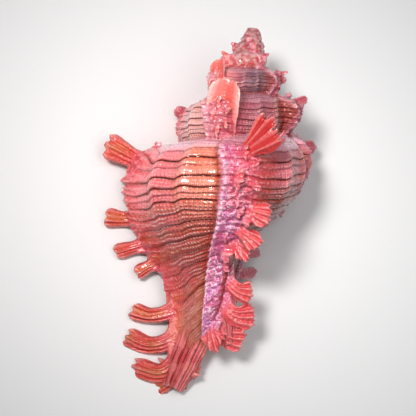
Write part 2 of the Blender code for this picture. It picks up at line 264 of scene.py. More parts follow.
def addSpire():
    # the turns before the last, down to the depth that the next turn hides
    columns, outside = 120, 104
    outline = smoothPath(shellGrowth["outline"][:12], outside + 1)
    back = np.column_stack([np.linspace(0.3, 0.3, columns - outside), np.linspace(66.6, 27, columns - outside)])
    outline = np.vstack([outline, back[: columns - outside - 1], outline[:1]])
    first, last, rows = -360.0 * shellGrowth["turns"], -395.0, 900

    def place(u, v):
        column, row = ringIndex(u, columns), ringIndex(v, rows)
        radius, depth = outline[column, 0], outline[column, 1]
        angle = first + (last - first) * np.clip((row - 1) / (rows - 2), 0, 1)
        closed = ((row > 0) & (row < rows)).astype(float)
        height = np.where(column <= outside, whorlHeight(angle, radius, depth), 0)
        return onShell(angle, (radius + height) * closed, depth * closed + 45 * (1 - closed)), angle, 0.0

    bendGrid(columns, rows, place, bodyShape)
    tip = bmesh.ops.create_icosphere(
        raw, subdivisions=5, radius=1.0 * mm, matrix=Matrix.Identity(4))["verts"]
    for vert in tip:  # a cone that fills the seams between the smallest turns
        along = max(1 - vert.co.y / mm, 0) / 2
        depth = 0.25 + 11 * along**1.5
        turn = math.atan2(vert.co.x, vert.co.z)
        wide = (1.5 + 0.36 * depth) * math.sqrt(max(1 - (vert.co.y / mm) ** 6, 0))
        wide *= 1 + 0.07 * math.sin(4.4 * depth + turn) + 0.05 * math.sin(5 * turn + 3 * depth)
        vert.co = (wide * math.sin(turn) * mm, -depth * mm, wide * math.cos(turn) * mm)
        vert[angleLayer] = 360 * math.log(max(depth, 0.5) / 44) / math.log(shellGrowth["turnGrowth"])


canalShapes = {
    "spine": [(2.4, 62.0), (1.6, 72.0), (2.4, 80.0), (4.0, 87.0), (5.4, 92.0), (6.3, 95.2), (7.0, 98.0)],
    "radii": [4.4, 5.0, 4.8, 4.4, 4.0, 3.5, 2.9],
    "outer": 0.86,  # the part of the rings that is outside
    "flatness": 0.72,
    "turns": (0.0, 65.0, 45.0),
    "slitWidth": 15.0,  # degrees round the tube
    "flutes": 13,
}


canals = []


def addTube(spine, side, radii, flatness, around, reliefOf, angle, shape):
    steps = len(spine) - 1
    canals.append({"spine": spine, "side": side})

    def place(u, v):
        back = np.clip((v - canalShapes["outer"]) / (1 - canalShapes["outer"]), 0, 1)  # rings that run back inside
        step = ringIndex(np.clip(v / canalShapes["outer"], 0, 1) - 0.25 * back, steps)
        turn = 2 * np.pi * u
        ahead = spine[np.minimum(step + 1, steps)] - spine[np.maximum(step - 1, 0)]
        ahead /= np.linalg.norm(ahead, axis=1)[:, None]
        across = side - (ahead @ side)[:, None] * ahead
        across /= np.linalg.norm(across, axis=1)[:, None]
        up = np.cross(ahead, across)
        ends = np.sqrt(np.clip(1 - np.clip(1 - v / 0.06, 0, 1) ** 2, 0, 1))
        ends = ends * (1 - 0.36 * easeBetween(0, 0.35, back)) * np.sqrt(np.clip(1 - back**8, 0, 1))
        reach = radii[step] * ends * reliefOf(turn, v) * mm
        out = across * (reach * np.cos(turn))[:, None] + up * (reach * flatness * np.sin(turn))[:, None]
        return spine[step] + out, angle, 0.0

    bendGrid(around, steps, place, shape)


def addCanal(angle, turned):
    c = canalShapes
    points = smoothPath(c["spine"], 81)
    size = sizeAt(angle)
    turnedHere = turned * np.clip((points[:, 1] - 70) / 20, 0, 1)
    spine = onShell(angle, points[:, 0], points[:, 1], turnedHere)
    radii = np.interp(np.linspace(0, 1, 81), np.linspace(0, 1, len(c["radii"])), c["radii"]) * size
    azimuth = math.radians(shellGrowth["lipAzimuth"] - angle + turned)
    side = np.array([math.sin(azimuth), 0, math.cos(azimuth)])

    def reliefOf(turn, along):
        fluted = 1 + 0.045 * np.cos(c["flutes"] * turn + 2.5 * along) * easeBetween(0.15, 0.3, along)
        fromSlit = np.degrees(np.abs(np.mod(turn - 1.5 * np.pi + np.pi, 2 * np.pi) - np.pi))
        slit = np.exp(-((fromSlit / c["slitWidth"]) ** 4))
        return fluted * (1 - 0.25 * slit)

    addTube(spine, side, radii, c["flatness"], 96, reliefOf, angle, canalShape + len(canals))


# The fronds, by where they leave a varix. A spine's points are (out, down, back) from the root.
frondShapes = {
    "shoulder": {"depth": 42.0, "radius": 20.4, "spine": [(0, 0, 0), (6.6, -2.9, 1.6), (14.4, -5.7, 5.4)],
                 "halfWidths": [4.8, 2.6, 3.4], "halfDepth": 1.5, "lobes": 5},
    "edge": {"depth": 46.4, "radius": 22.6, "spine": [(0, 0, 0), (2.5, -0.4, 0.5), (5.4, -0.8, 1.2)],
             "halfWidths": [2.2, 1.5, 1.4], "halfDepth": 1.0, "lobes": 2},
    "upper": {"depth": 53.8, "radius": 21.0, "spine": [(0, 0, 0), (5.6, 1.7, 1.5), (11.2, 2.0, 4.6)],
              "halfWidths": [3.2, 2.0, 2.6], "halfDepth": 1.2, "lobes": 4},
    "middle": {"depth": 60.2, "radius": 17.6, "spine": [(0, 0, 0), (5.2, 2.4, 1.4), (10.2, 4.8, 4.0)],
               "halfWidths": [2.8, 1.8, 2.1], "halfDepth": 1.1, "lobes": 3},
    "lower": {"depth": 64.4, "radius": 14.4, "spine": [(0, 0, 0), (3.6, 2.6, 1.2), (6.8, 5.4, 3.0)],
              "halfWidths": [2.6, 1.7, 2.0], "halfDepth": 1.1, "lobes": 3},
    "neck": {"depth": 74.2, "radius": 5.6, "spine": [(0, 0, 0), (5.2, 3.8, 1.0), (10.2, 5.6, 2.2), (15.8, 4.8, 4.0)],
             "halfWidths": [3.6, 2.2, 2.0, 2.4], "halfDepth": 1.2, "lobes": 4},
    "canal": {"depth": 80.8, "radius": 4.8, "spine": [(0, 0, 0), (4.8, 4.8, 1.2), (10.0, 6.8, 2.6), (17.0, 5.0, 5.0)],
              "halfWidths": [3.6, 2.4, 2.3, 2.7], "halfDepth": 1.2, "lobes": 5},
    "end": {"depth": 88.0, "radius": 4.6, "spine": [(0, 0, 0), (2.8, 4.0, 1.0), (6.6, 6.6, 2.4), (14.0, 5.4, 4.4)],
            "halfWidths": [3.4, 2.8, 2.5, 2.6], "halfDepth": 1.2, "lobes": 5},
    "fork": {"depth": 91.0, "radius": 5.0, "spine": [(0, 0, 0), (2.2, 4.0, 0.2), (6.2, 8.4, 0.8)],
             "halfWidths": [2.8, 2.3, 2.0], "halfDepth": 1.2, "lobes": 3},
    "prong": {"depth": 91.6, "radius": 5.9, "spine": [(0, 0, 0), (0.9, 4.2, 0.0), (1.8, 8.9, 0.2)],
              "halfWidths": [3.4, 3.2, 2.5], "halfDepth": 1.4, "lobes": 4},
}
frondShapes["hood"] = {"depth": 52.0, "radius": 19.6, "spine": [(0, 0, 0), (7.2, -10, 0.3), (9.6, -25, 1.2)],
                       "halfWidths": [5.5, 8.2, 8.0], "halfDepth": 1.9, "lobes": 2}
frondStyle = {
    "stances": [  # reach, backward bend and rise of the shoulder frond, then of the others
        {"shoulder": (1.0, 0.7, 0.0), "others": (1.0, 0.7, 0.0)},
        {"shoulder": (0.7, 1.9, 8.4), "others": (0.57, 2.2, -1.6)},
        {"shoulder": (1.04, 0.6, -2.0), "others": (0.9, 1.2, 0.0)},
        {"shoulder": (0.85, 0.8, -2.0), "others": (0.8, 0.8, 0.0)},
        {"shoulder": (1.1, 0.8, 2.5), "others": (0.8, 0.8, 0.0)},
    ],
    "bodyVarices": 3,
    "varices": 16,
    "spireFronds": ("shoulder", "edge", "upper"),
    "hoods": (4, 7),
    # tongues stand on the lip, fans and frills on the varices before it, stubs and hoods on the spire
    # notch, rounding and ruffle are mm at the lip's scale
    "tongue": {"thick": 1.05, "notch": 1.4, "rounding": 1.0, "point": 2.0, "flare": 0.2, "ruffle": 0.25, "waves": 1.0,
               "web": 0.85, "gutter": 0.9, "teeth": 2, "flute": 0.22, "thinned": 0.3},
    "plume": {"thick": 0.6, "notch": 3.2, "rounding": 1.0, "point": 1.4, "flare": 1.0, "ruffle": 0.75, "waves": 3.5,
              "web": 0.5, "gutter": -0.4, "teeth": 6, "flute": 0.15, "thinned": 0.3},
    "fan": {"thick": 0.58, "notch": 1.5, "rounding": 2.2, "point": 1.5, "flare": 0.8, "ruffle": 0.5, "waves": 4.0,
            "web": 0.35, "gutter": -0.4, "teeth": 6, "flute": 0.1, "thinned": 0.15},
    "stub": {"thick": 1.0, "notch": 1.1, "rounding": 2.2, "point": 2.0, "flare": -0.15, "ruffle": 0.35, "waves": 1.0,
             "web": 0.9, "gutter": 0.6, "teeth": 2, "flute": 0.12, "thinned": 0.3},
    "hood": {"thick": 0.8, "notch": 0.4, "rounding": 1.7, "point": 2.0, "flare": 0.0, "ruffle": 0.5, "waves": 1.5,
             "web": 0.1, "gutter": 3.4, "teeth": 2, "flute": 0.08, "thinned": 0.1},
    "frill": {"thick": 0.75, "notch": 0.6, "rounding": 0.6, "point": 1.5, "flare": 0.5, "ruffle": 0.5, "waves": 2.0,
              "web": 0.3, "gutter": -0.3, "teeth": 3, "flute": 0.05, "thinned": 0.1},
}
fronds = []


def addFrond(number, name, f, shift=0.0):
    kind = name if name in ("hood", "frill") else "tongue" if number == 0 else "stub"
    if number == 1 and name != "frill":
        kind = "plume" if name == "shoulder" else "fan"
    style = frondStyle[kind]
    angle = -shellGrowth["varixStep"] * number + shift
    size = float(sizeAt(angle))
    stance = (1, 1, 0)
    if kind not in ("hood", "frill"):
        stance = frondStyle["stances"][min(number, 4)]["shoulder" if name == "shoulder" else "others"]
    if number == 1 and f["depth"] > 70 and kind == "fan":
        stance = (0.5, stance[1], stance[2])
    swung = 32.0 if number == 1 and f["depth"] > 70 and kind == "fan" else 0.0
    azimuth = math.radians(shellGrowth["lipAzimuth"] - angle + swung)
    outward = np.array([math.sin(azimuth), 0, math.cos(azimuth)])
    backward = np.array([math.cos(azimuth), 0, -math.sin(azimuth)])
    down = np.array([0, -1.0, 0])
    root = onShell(angle, f["radius"], f["depth"])
    steps = 40
    path = smoothPath(f["spine"], steps + 1)
    fall = path[:, 1] - stance[2] * (path[:, 0] / f["spine"][-1][0]) ** 2
    spine = root + (np.outer(path[:, 0] * stance[0], outward) + np.outer(fall, down)
                    + np.outer(path[:, 2] * stance[1], backward)) * size * mm
    ahead = np.gradient(spine, axis=0)
    ahead /= np.linalg.norm(ahead, axis=1)[:, None]
    across = backward if name == "hood" else down
    side = across - (ahead @ across)[:, None] * ahead
    side /= np.linalg.norm(side, axis=1)[:, None]
    up = np.cross(ahead, side)
    widths = np.interp(np.linspace(0, 1, steps + 1), np.linspace(0, 1, len(f["halfWidths"])), f["halfWidths"])
    widths = np.maximum(widths * size, 0.85)
    if size < 0.32:
        widths = widths * np.linspace(1.3, 0.6, steps + 1)
    thick = max(f["halfDepth"] * size * style["thick"], 0.42)
    length = max(f["spine"][-1][0], 1) * 1.15
    flutes, lobes, seed = f["lobes"], style["teeth"] + (f["lobes"] > 4), 1.7 * number + 0.9 * len(fronds)
    large = size > 0.5 and kind != "frill"

    def place(u, v):
        turn = 2 * np.pi * u
        x = np.cos(turn)  # across the frond, -1 to 1
        inLobe = np.mod((x + 1) / 2 * lobes * 0.9999, 1)
        gap = np.abs(2 * inLobe - 1) ** style["point"]  # 0 in the middle of a lobe, 1 between two
        lobe = np.floor((x + 1) / 2 * lobes * 0.9999)
        cut = style["notch"] * gap * (0.7 + 0.3 * np.cos(2.4 * lobe + seed)) + 0.6 * np.sin(2.4 * lobe + seed) ** 2
        cut = (cut + style["rounding"] * x * x + 0.15 * np.cos(23 * x + seed)) / length
        reached = v * (1 - cut * easeBetween(0.3, 1.0, v))
        step = reached * steps
        low = np.minimum(step.astype(int), steps - 1)
        part = (step - low)[:, None]
        centre = spine[low] * (1 - part) + spine[low + 1] * part
        sideways = side[low] * (1 - part) + side[low + 1] * part
        upward = up[low] * (1 - part) + up[low + 1] * part
        wide = np.interp(step, np.arange(steps + 1), widths)
        wide = wide * (1 + style["flare"] * easeBetween(0.4, 1.1, v) + style["web"] * bump(v, 0, 0.2))
        body = thick * (1 - 0.4 * v) * (1 - style["thinned"] * gap * easeBetween(0.4, 1, v))
        rounded = np.sqrt(np.clip(1 - np.clip((v - 0.965) / 0.035, 0, 1) ** 2, 0, 1)) * np.clip(v / 0.02, 0, 1)
        fluted = style["flute"] * size * np.cos(np.pi * flutes * (x + 1)) * easeBetween(0.0, 0.3, v)
        lift = np.sign(np.sin(turn)) * np.abs(np.sin(turn)) ** 0.55 * (body - fluted) * rounded
        wave = np.pi * style["waves"] * (x + 1)
        folded = np.sin(wave + seed) * easeBetween(0.2, 1, v) + 0.2 * np.sin(2.3 * wave + 2 * seed) * easeBetween(0.5, 1, v)
        folded = style["ruffle"] * size * folded
        curlStart = -0.6 if name == "hood" else 0.1
        curled = -style["gutter"] * size * x * x * easeBetween(curlStart, curlStart + 0.7, v)
        points = centre + (sideways * (x * wide)[:, None] + upward * (lift + folded + curled)[:, None]) * mm
        return points, angle, 0.0

    bendGrid(72 if large else 36, 40 if large else 18, place, firstFrond + len(fronds))
    fronds.append({"spine": spine, "side": side, "widths": widths, "angle": angle, "name": name})


slitShape = {  # the open channel that runs from the mouth along the canal
    "spine": [(12.6, 55.0), (9.4, 61.0), (5.0, 66.6), (2.4, 72.0), (2.4, 80.0), (4.0, 87.0), (5.6, 92.5), (7.9, 101.4)],
    "lift": [0.0, 0.6, 2.6, 3.7, 3.3, 2.9, 2.4, 1.4],
    "halfWidth": 0.75,
    "halfDepth": 2.0,
}


def addSlit(where):
    steps, around = 60, 16
    points = smoothPath(slitShape["spine"], steps + 1)
    lifts = np.interp(np.linspace(0, 1, steps + 1), np.linspace(0, 1, len(slitShape["lift"])), slitShape["lift"])
    azimuth = math.radians(shellGrowth["lipAzimuth"])
    outward = np.array([math.sin(azimuth), 0, math.cos(azimuth)])
    forward = np.array([-math.cos(azimuth), 0, math.sin(azimuth)])
    spine = onShell(0, points[:, 0], points[:, 1]) + np.outer(lifts, forward) * mm
    ahead = np.gradient(spine, axis=0)
    ahead /= np.linalg.norm(ahead, axis=1)[:, None]
    across = outward - (ahead @ outward)[:, None] * ahead
    across /= np.linalg.norm(across, axis=1)[:, None]
    up = np.cross(ahead, across)

    def place(u, v):
        step, turn = ringIndex(v, steps), 2 * np.pi * u
        open_ = np.where((step > 0) & (step < steps), 1.0, 0.0)
        wide = slitShape["halfWidth"] * (1 + 0.15 * np.sin(0.9 * step)) * open_ * mm
        out = across[step] * (wide * np.cos(turn))[:, None]
        out = out + up[step] * (slitShape["halfDepth"] * open_ * np.sin(turn) * mm)[:, None]
        return spine[step] + out, 0.0, 1.0

    bendGrid(around, steps, place, bodyShape, where)


addBodyWhorl()
addSpire()
for number, turned in enumerate(canalShapes["turns"]):
    addCanal(-shellGrowth["varixStep"] * number, turned)
for number in range(frondStyle["varices"]):
    names = [name for name in frondShapes if name != "hood" and (name != "prong" or number == 0)]
    if number >= frondStyle["bodyVarices"]:
        names = ("hood",) if number in frondStyle["hoods"] else frondStyle["spireFronds"]
    for name in names:
        addFrond(number, name, frondShapes[name], 7.0 if (number, name) == (1, "shoulder") else 0.0)
frillRow = {"varices": (0, 1, 2, 4, 5, 7, 8), "count": 13, "spireCount": 7, "first": 36.0, "step": 3.4, "reach": 3.2, "halfWidth": 2.1, "lobes": 3}
frillOutline = smoothPath(shellGrowth["outline"], 120)
for number in frillRow["varices"]:
    onSpire = number >= frondStyle["bodyVarices"]
    shoulder, spread = whorlRelief["spireShoulder" if onSpire else "bodyShoulder"]
    for k in range(frillRow["spireCount" if onSpire else "count"]):
        depth = frillRow["first"] + frillRow["step"] * k + 0.9 * math.sin(2.3 * k + number)
        radius = float(np.interp(depth, frillOutline[20:, 1], frillOutline[20:, 0]))
        radius += (whorlRelief["varixHeight"] + shoulder * bump(depth, 42, spread)) * min(1, 0.35 + radius / 20)
        radius -= 1.2 if number == 0 else 0
        reach = frillRow["reach"] * (0.75 + 0.35 * math.sin(1.9 * k + 1.3 * number)) * (0.5 if number == 0 else 1)
        wide = frillRow["halfWidth"] * (0.85 + 0.3 * math.sin(2.7 * k))
        frill = {"depth": depth, "radius": radius, "spine": [(-0.8, 0, 0), (0.6 * reach, -0.1, 0.1), (reach, 0.3 * math.sin(k), 0.9 * reach)],
                 "halfWidths": [wide, wide, 1.1 * wide], "halfDepth": 0.62, "lobes": frillRow["lobes"]}
        addFrond(number, "frill", frill, (-2.5 if number == 0 else 6.5 * math.sin(2.6 * k)))
print("raw shapes", len(raw.verts), "points", len(fronds), "fronds")

# One skin over all the raw shapes
skinMaking = {"voxel": 0.27, "triangles": 188000}


def meshOf(source):
    return bpy.data.meshes.new_from_object(source.evaluated_get(bpy.context.evaluated_depsgraph_get()))


rawMesh = bpy.data.meshes.new("raw_shell")
bmesh.ops.recalc_face_normals(raw, faces=raw.faces)
raw.to_mesh(rawMesh)
shell = bpy.data.objects.new("murex_shell", rawMesh)
bpy.context.scene.collection.objects.link(shell)
remesh = shell.modifiers.new("one_skin", "REMESH")
remesh.mode = "VOXEL"
remesh.voxel_size = skinMaking["voxel"] * mm
shell.data = meshOf(shell)
shell.modifiers.clear()
print("skin", len(shell.data.polygons), "faces")
if 2 * len(shell.data.polygons) > skinMaking["triangles"]:
    thin = shell.modifiers.new("fewer_faces", "DECIMATE")
    thin.ratio = skinMaking["triangles"] / (2 * len(shell.data.polygons))
    shell.data = meshOf(shell)
    shell.modifiers.clear()


def cutAway(name, tool):
    bmesh.ops.recalc_face_normals(tool, faces=tool.faces)
    toolMesh = bpy.data.meshes.new(name)
    tool.to_mesh(toolMesh)
    tool.free()
    cutter = bpy.data.objects.new(name, toolMesh)
    bpy.context.scene.collection.objects.link(cutter)
    cut = shell.modifiers.new(name, "BOOLEAN")
    cut.operation, cut.solver, cut.object = "DIFFERENCE", "MANIFOLD", cutter
    shell.data = meshOf(shell)
    shell.modifiers.clear()
    bpy.data.objects.remove(cutter)


slit = bmesh.new()
addSlit(slit)
cutAway("canal_slit", slit)
worn = bmesh.new()  # the flat places on which it lies
bmesh.ops.create_cube(worn, size=0.2, matrix=shellPlace.inverted() @ Matrix.Translation((0, 0, -0.1)))
cutAway("worn_flat", worn)
addSlit(raw)  # so that its walls are porcelain too
skin = bmesh.new()
skin.from_mesh(shell.data)
bmesh.ops.dissolve_degenerate(skin, dist=2e-6, edges=skin.edges)
bmesh.ops.triangulate(skin, faces=skin.faces)
islands = []  # crumbs that the cuts left loose go
for start in skin.verts:
    island = [] if start.tag else [start]
    start.tag = True
    for vert in island:
        for near in [edge.other_vert(vert) for edge in vert.link_edges]:
            if not near.tag:
                near.tag = True
                island.append(near)
    islands.append(island)
largest = max(islands, key=len)
crumbs = [vert for island in islands if island is not largest for vert in island]
bmesh.ops.delete(skin, geom=crumbs, context="VERTS")
print("crumbs", len(crumbs), "points")
skin.to_mesh(shell.data)
skin.free()
shellMesh = shell.data
shellMesh.name = "murex_shell"
shellMesh.shade_smooth()
print("thinned", len(shellMesh.polygons), "triangles")


# Each corner learns where it is on the growing shell, so that the finish can follow the growth
def cornerPlaces():
    count = len(shellMesh.polygons)
    corners = np.empty(count * 3, np.int32)
    shellMesh.loops.foreach_get("vertex_index", corners)
    points = np.empty(len(shellMesh.vertices) * 3)
    shellMesh.vertices.foreach_get("co", points)
    points = points.reshape(-1, 3)
    raw.faces.ensure_lookup_table()
    tree = BVHTree.FromBMesh(raw)
    shapes = np.array([face[shapeLayer] for face in raw.faces])
    angles = np.array([face.verts[0][angleLayer] for face in raw.faces])
    mouths = np.array([sum(vert[mouthLayer] for vert in face.verts) / len(face.verts) for face in raw.faces])
    middles = points[corners].reshape(-1, 3, 3).mean(axis=1)
    nearest = np.array([tree.find_nearest(middle)[2] for middle in middles.tolist()])
    at = points[corners]
    shape = np.repeat(shapes[nearest], 3)
    sourceAngle = np.repeat(angles[nearest], 3)
    azimuth = np.degrees(np.arctan2(at[:, 0], at[:, 2]))
    turned = np.mod(shellGrowth["lipAzimuth"] - azimuth - sourceAngle + 180, 360) - 180
    onWhorl = shape == bodyShape
    onCanal = (shape >= canalShape) & (shape < firstFrond)
    angle = sourceAngle + np.where(onWhorl, turned, 0)
    depth = -at[:, 1] / (sizeAt(angle) * mm)
    counted = strippedDepth(angle, depth)
    along, across = np.zeros(len(at)), np.zeros(len(at))
    for k, frond in enumerate(fronds):
        mine = np.flatnonzero(shape == firstFrond + k)
        if not len(mine):
            continue
        away = at[mine][:, None, :] - frond["spine"][None, :, :]
        step = np.argmin((away**2).sum(axis=2), axis=1)
        spine = frond["spine"]
        ahead = np.gradient(spine, axis=0)[step]
        gone = ((at[mine] - spine[step]) * ahead).sum(axis=1) / (ahead**2).sum(axis=1)
        along[mine] = np.clip((step + gone) / (len(spine) - 1), 0, 1.2) * (0.5 if frond["name"] == "frill" else 1)
        across[mine] = ((at[mine] - spine[step]) * frond["side"][step]).sum(axis=1) / (frond["widths"][step] * mm)
    for k, canal in enumerate(canals):
        mine = np.flatnonzero(shape == canalShape + k)
        spine, ahead = canal["spine"], np.gradient(canal["spine"], axis=0)
        away = at[mine][:, None, :] - spine[None, :, :]
        step = np.argmin((away**2).sum(axis=2), axis=1)
        out = at[mine] - spine[step]
        gone = (out * ahead[step]).sum(axis=1) / (ahead[step] ** 2).sum(axis=1)
        ahead = ahead[step] / np.linalg.norm(ahead[step], axis=1)[:, None]
        right = canal["side"] - (ahead @ canal["side"])[:, None] * ahead
        turn = np.arctan2((out * np.cross(ahead, right)).sum(axis=1), (out * right).sum(axis=1)) / (2 * np.pi)
        first = turn.reshape(-1, 3)[:, :1]
        turn = (first + np.mod(turn.reshape(-1, 3) - first + 0.5, 1) - 0.5).ravel()
        along[mine], across[mine] = (step + gone) / (len(spine) - 1), (turn - 0.5) * 4
    mouth = np.repeat(mouths[nearest], 3)
    mouth[~onWhorl] = 0
    onFirst = shape == canalShape  # porcelain runs a little way along both sides of the slit
    slitSide = bump(np.abs(np.mod((across / 4 + 0.5) - 0.75 + 0.5, 1) - 0.5), 0, 0.14)
    mouth = np.where(onFirst, easeBetween(0.42, 0.12, along) * easeBetween(0.3, 0.7, slitSide), mouth)
    # how far each point stands above its smoothed surroundings: crests over 0.5, recesses under it; the finish uses it
    # for painted shade in recesses and painted highlights on crests
    ends = np.empty(len(shellMesh.edges) * 2, np.int32)
    shellMesh.edges.foreach_get("vertices", ends)
    one, other = np.concatenate([ends[::2], ends[1::2]]), np.concatenate([ends[1::2], ends[::2]])
    meetings = np.bincount(one, minlength=len(points)).astype(float)
    normals = np.empty(len(points) * 3)
    shellMesh.vertices.foreach_get("normal", normals)
    smoothed, stands = points, []
    for rounds in (5, 40):
        for _ in range(rounds):
            near = [np.bincount(one, smoothed[other, axis], len(points)) / meetings for axis in range(3)]
            smoothed = 0.5 * smoothed + 0.5 * np.stack(near, axis=1)
        stands.append(((points - smoothed) * normals.reshape(-1, 3)).sum(axis=1) / mm)

    def spread(values, rounds):
        values = np.bincount(corners, values, len(points)) / np.bincount(corners, minlength=len(points))
        for _ in range(rounds):
            values = 0.5 * values + 0.5 * np.bincount(one, values[other], len(points)) / meetings
        return values[corners]

    return {
        "relief": (0.5 + 2.2 * stands[0][corners], 0.5 + 0.7 * stands[1][corners]),
        "growth": (angle / 360 + 8, counted / 100),
        "frond": (spread(along, 3), across * 0.25 + 0.5),
        "zone": (spread(mouth, 4), onCanal.astype(float)),
    }


for layerName, (across, up) in cornerPlaces().items():
    layer = shellMesh.uv_layers.new(name=layerName)
    layer.data.foreach_set("uv", np.column_stack([across, up]).ravel())
raw.free()

shellMesh.transform(shellPlace)
for vert in shellMesh.vertices:
    vert.co.z = max(vert.co.z, 0.0)
shellMesh.update()
print("growth places written")


# Shader maths: a wire is a socket whose sums add Math nodes
def addNode(tree, kind, settings=None, inputs=None):
    node = tree.nodes.new(kind)
    for key, value in (settings or {}).items():
        if key == "stops":
            ramp = node.color_ramp
            while len(ramp.elements) < len(value):
                ramp.elements.new(1.0)
            for element, (place, colour) in zip(ramp.elements, value):
                element.position = place
                element.color = colour if len(colour) == 4 else (*colour, 1)
        else:
            setattr(node, key, value)
    for key, value in (inputs or {}).items():
        if isinstance(value, Wire):
            tree.links.new(value.socket, node.inputs[key])
        else:
            node.inputs[key].default_value = value
    return node


class Wire:
    def __init__(self, tree, socket):
        self.tree, self.socket = tree, socket

    def math(self, operation, first, second=0.0, third=0.0, clamp=False):
        settings = {"operation": operation, "use_clamp": clamp}
        node = addNode(self.tree, "ShaderNodeMath", settings, {0: first, 1: second, 2: third})
        return Wire(self.tree, node.outputs[0])

    def __add__(self, other):
        return self.math("ADD", self, other)

    __radd__ = __add__

    def __sub__(self, other):
        return self.math("SUBTRACT", self, other)

    def __rsub__(self, other):
        return self.math("SUBTRACT", other, self)

    def __mul__(self, other):
        return self.math("MULTIPLY", self, other)

    __rmul__ = __mul__

    def __truediv__(self, other):
        return self.math("DIVIDE", self, other)

    def __rtruediv__(self, other):
        return self.math("DIVIDE", other, self)

    def sine(self):
        return self.math("SINE", self)

    def size(self):
        return self.math("ABSOLUTE", self)

    def fraction(self):
        return self.math("FRACT", self)

    def power(self, other):
        return self.math("POWER", self, other)

    def atLeast(self, other):
        return self.math("MAXIMUM", self, other)

    def atMost(self, other):
        return self.math("MINIMUM", self, other)

    def clamped(self):
        return self.math("ADD", self, 0.0, clamp=True)

    def ease(self, low, high, first=0.0, last=1.0):
        node = addNode(self.tree, "ShaderNodeMapRange", {"interpolation_type": "SMOOTHSTEP"},
                       {0: self, 1: low, 2: high, 3: first, 4: last})
        return Wire(self.tree, node.outputs[0])

    def band(self, middle, width):
        return 1 - (self - middle).size().ease(0.0, width)

    def ramp(self, stops, kind="LINEAR"):
        node = addNode(self.tree, "ShaderNodeValToRGB", {"stops": stops}, {0: self})
        node.color_ramp.interpolation = kind
        return Wire(self.tree, node.outputs[0])


def blend(factor, first, second, kind="MIX"):
    tree = factor.tree
    node = addNode(tree, "ShaderNodeMix", {"data_type": "RGBA", "blend_type": kind, "clamp_factor": True},
                   {0: factor, 6: first, 7: second})
    return Wire(tree, node.outputs[2])


def noise(tree, vector, scale, detail=3.0, roughness=0.55, warp=0.0):
    node = addNode(tree, "ShaderNodeTexNoise", {}, {
        "Vector": vector, "Scale": scale, "Detail": detail, "Roughness": roughness, "Distortion": warp})
    return Wire(tree, node.outputs[0])


def flecks(tree, vector, scale):
    node = addNode(tree, "ShaderNodeTexVoronoi", {}, {"Vector": vector, "Scale": scale})
    return Wire(tree, node.outputs[0])


def srgb(red, green, blue):
    return tuple((c / 255 / 12.92 if c <= 10 else ((c / 255 + 0.055) / 1.055) ** 2.4) for c in (red, green, blue)) + (1.0,)


def newMaterial(name):
    material = bpy.data.materials.new(name)
    material.use_nodes = True
    return material, material.node_tree, material.node_tree.nodes["Principled BSDF"]


shellFinish = {
    "roughness": 0.29,
    "coat": 0.7,
    "coatRoughness": 0.12,
    "bump": 0.75,
    "bumpDistance": 0.0005,
    "lineColour": srgb(76, 20, 10),
    "lineWidth": 0.29,
    "pink": srgb(248, 142, 150),
    "rose": srgb(228, 104, 114),
    "tan": srgb(226, 156, 118),
    "amber": srgb(208, 92, 44),
    "coral": srgb(212, 76, 64),
    "deepCoral": srgb(172, 36, 28),
    "lilac": srgb(216, 142, 200),
    "violet": srgb(204, 90, 130),
    "dustyRoseAndShade": srgb(208, 124, 136),
    "umberAndShade": srgb(124, 38, 26),
    "brick": srgb(150, 44, 32),
    "ember": srgb(194, 42, 32),
    "peach": srgb(240, 150, 126),
    "pale": srgb(255, 204, 200),
    "frost": srgb(250, 226, 240),
    "ramp": srgb(244, 200, 216),
    "plum": srgb(164, 92, 112),
    "hood": srgb(240, 126, 112),
    "ochre": srgb(204, 118, 52),
    "petal": srgb(232, 108, 122),
    "slate": srgb(128, 92, 112),
    "porcelain": srgb(248, 226, 220),
    "throat": srgb(236, 160, 140),
}


